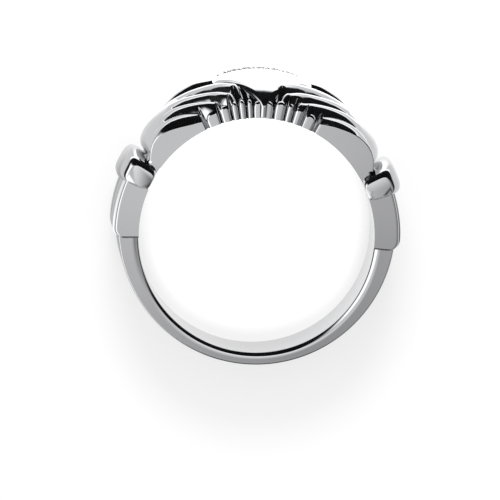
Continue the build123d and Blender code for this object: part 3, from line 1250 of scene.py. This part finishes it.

# %% [markdown]
# The table is pale. It glows a little of itself, so that it stays even and almost white like a
# photographer's sweep, and its own colour is only a mid grey, so that the ring's shadow stays
# faint. Polished metal shows the table all round its edge. A painted pool of light, a stronger
# glow, lies where the heart mirrors the table, and a painted shade greys a patch beside the left
# sleeve that mirror rays alone see. Inside the finger hole the table glows a little more: painted
# light for the light that the ring throws back onto it.

# %% Pale table
# Pairs say where a soft step starts and where it ends.
table_base = 0.35
table_glow = 0.6
# Painted light: the table glows more where the heart mirrors it, a pool of light with no lamp.
painted_pool_glow = 1.9
pool_left = (-12 * MM, -7 * MM)
pool_right = (16 * MM, 9 * MM)
pool_near = (5 * MM, 13 * MM)
# Painted shade: a darker patch beside the left sleeve, seen by mirror rays only.
shade_depth = 0.6
shade_place = (-16 * MM, -1 * MM)
shade_reach = (9.5 * MM, 5 * MM)
# Painted light: a stronger glow inside the finger hole, for light thrown back by the ring.
painted_bounce_glow = 0.22
bounce_reach = (10.5 * MM, 8.5 * MM)


def pale_table():
    made = bpy.data.materials.new("pale_table")
    wire = start_nodes(made)
    x, y = parts(wire, wire.node("ShaderNodeTexCoord", output=3))[:2]
    # The painted pool of light.
    pool = smooth_step(wire, x, *pool_left) * smooth_step(wire, x, *pool_right)
    pool = pool * smooth_step(wire, y, *pool_near)
    # The painted shade, for mirror rays only.
    shade = smooth_step(wire, distance(wire, x, y, shade_place), *shade_reach)
    shade = shade * mirror_rays(wire) * shade_depth
    glow = mix(wire, shade, mix(wire, pool, grey(table_glow), grey(painted_pool_glow)), grey(0.0))
    # The painted bounce light inside the finger hole.
    bounce = smooth_step(wire, distance(wire, x, y, (0.0, 0.0)), *bounce_reach) * painted_bounce_glow
    looks = {
        "Base Color": grey(table_base),
        "Roughness": 0.8,
        "Specular IOR Level": 0.0,
        "Emission Color": wire.node("ShaderNodeVectorMath", {0: glow, 1: bounce}, {"operation": "ADD"}),
        "Emission Strength": 1.0,
    }
    surface(wire, looks)
    return made


table_look = pale_table()
print("the table's material has", len(table_look.node_tree.nodes), "nodes")

# %% [markdown]
# The table itself is a flat round face at height 0, where the ring rests. It is left off the
# ring's body, because it isn't part of the ring.

# %% Lay the table
table_radius = 0.06
table_segments = 128


def lay_table():
    mesh = bmesh.new()
    bmesh.ops.create_circle(mesh, cap_ends=True, segments=table_segments, radius=table_radius)
    top = add_object("table_top", mesh_from("table_top", mesh))
    top.data.materials.append(table_look)


lay_table()
print("the table is", table_radius * 2 / MM, "mm across")

# %% [markdown]
# Polished metal is drawn by what surrounds it. A photographer sets white and black cards round
# such a ring, and here a painted studio does the same. One soft round card stands where the
# flat near faces mirror it, brighter toward the left.

# %% Soft card
# Places on the card are x and y of a ray's direction. The flat near faces mirror straight_back.
card_place = (0.20, -0.16)
card_size = 0.34
card_soft = 0.85
card_glow = 0.76
card_least = 0.05
card_across = -1.5
card_up = 2.4
straight_back = (0.057, -0.25)


def card(wire, x, y, z):
    """The card's light, and where it is seen."""
    glow = (x - straight_back[0]) * card_across + (y - straight_back[1]) * card_up + card_glow
    glow = wire.math("MAXIMUM", glow, card_least)
    light = wire.node("ShaderNodeCombineXYZ", {0: glow, 1: glow, 2: glow})
    seen = smooth_step(wire, distance(wire, x, y, card_place), card_size, card_size * card_soft)
    return light, seen * wire.math("GREATER_THAN", z, 0.0)


print("the card reaches about", round(degrees(2 * asin(card_size))), "degrees across")

# %% [markdown]
# The studio's upper half is black, with a bright field toward the left and a grey one toward
# the right. Its lower half is pale, and brighter beyond the head. Only mirror rays see it and
# the card. Every other ray meets an even pale surround, so the light stays soft.

# %% Studio
surround = 0.95
pale = 1.0
pale_north = 2.0
horizon = (radians(85) / pi, radians(90) / pi)
# Fields: which way, as x and y, and the cosines between which they fade in round that way.
west = (-0.94, -0.34, 0.45, 0.75)
east = (0.9, -0.43, 0.72, 0.92)
north = (0, 1, 0.6, 0.85)
# Rows of the upper half: degrees down from overhead, brightness.
dark_rows = [(0, 0.0), (85, 0.012)]
west_rows = [(0, 0.8), (15, 0.9), (26, 2.1), (58, 2.1), (66, 0.03)]
east_rows = [(0, 0.7), (20, 0.6), (60, 0.45), (72, 0.02)]


def studio():
    world = bpy.data.worlds.new("studio")
    bpy.context.scene.world = world
    wire = start_nodes(world)
    x, y, z = parts(wire, wire.node("ShaderNodeTexCoord", output=0))
    height = wire.math("ARCCOSINE", z) / pi
    flat = wire.math("SQRT", x * x + y * y)

    def ramp(rows):
        stops = [(radians(angle) / pi, grey(value)) for angle, value in rows]
        return wire.node("ShaderNodeValToRGB", {"Fac": height}, stops=stops)

    def toward(way_x, way_y, start, end):
        return smooth_step(wire, (x * way_x + y * way_y) / flat, start, end)

    upper = mix(wire, toward(*west), ramp(dark_rows), ramp(west_rows))
    upper = mix(wire, toward(*east), upper, ramp(east_rows))
    lower = mix(wire, toward(*north), grey(pale), grey(pale_north))
    scene_around = mix(wire, smooth_step(wire, height, *horizon), upper, lower)
    light, seen = card(wire, x, y, z)
    mirrored = mix(wire, seen, scene_around, light)
    overall = mix(wire, mirror_rays(wire), grey(surround), mirrored)
    sky = wire.node("ShaderNodeBackground", {"Color": overall, "Strength": 1.0})
    wire.node("ShaderNodeOutputWorld", {"Surface": sky})
    return world


print("the studio has", len(studio().node_tree.nodes), "nodes")

# %% [markdown]
# One soft lamp, above and beyond the head, gives the shadow its direction. The metal must not
# mirror it as a bright disc, so it is hidden from mirror rays.

# %% Soft light
lamp_place = (-0.03, 0.30, 0.30)
lamp_size = 0.2
lamp_power = 1.0


def soft_light():
    lamp = bpy.data.lights.new("key", "AREA")
    lamp.shape = "DISK"
    lamp.size = lamp_size
    lamp.energy = lamp_power
    made = add_object("key", lamp)
    made.location = lamp_place
    made.rotation_euler = (-Vector(lamp_place)).to_track_quat("-Z", "Y").to_euler()
    made.visible_glossy = False


soft_light()
print("the lamp is", round(Vector(lamp_place).length, 2), "m away")

# %% [markdown]
# The camera looks almost along the finger, a little from the head's side and from the left. It
# stands far off behind a long lens, as for a product picture, which keeps the rims of the
# ring close to true circles. Its frame is placed by where the hole's near rim is in the image.

# %% Camera
frame_width = 41.9 * MM
camera_distance = 1.0
sensor_width = 36
clip_from = 0.01
clip_to = 10
view_tilt = radians(8.2)
view_side = radians(23.5)
photo_lean = radians(3.2)
picture_size = 500
hole_pixel = (256.6, 235.7)


def add_camera():
    toward = turned @ Vector(
        (-sin(view_tilt) * sin(view_side), sin(view_tilt) * cos(view_side), cos(view_tilt))
    )
    up = turned @ Vector((-sin(photo_lean), cos(photo_lean), 0))
    up = (up - toward * up.dot(toward)).normalized()
    right = up.cross(toward)
    pixel = frame_width / picture_size
    aside = (hole_pixel[0] - picture_size / 2) * pixel
    above = (picture_size / 2 - hole_pixel[1]) * pixel
    aim = lay_down @ Vector((0, 0, half)) - right * aside - up * above
    camera = bpy.data.cameras.new("camera")
    camera.sensor_width = sensor_width
    camera.lens = sensor_width * camera_distance / frame_width
    camera.clip_start = clip_from
    camera.clip_end = clip_to
    made = add_object("camera", camera)
    facing = Matrix((tuple(right), tuple(up), tuple(toward))).transposed().to_4x4()
    made.matrix_world = Matrix.Translation(aim + toward * camera_distance) @ facing
    bpy.context.scene.camera = made
    bpy.context.scene.view_settings.view_transform = "Standard"
    return made


print("the camera stands", round(add_camera().location.z, 3), "m over the table")
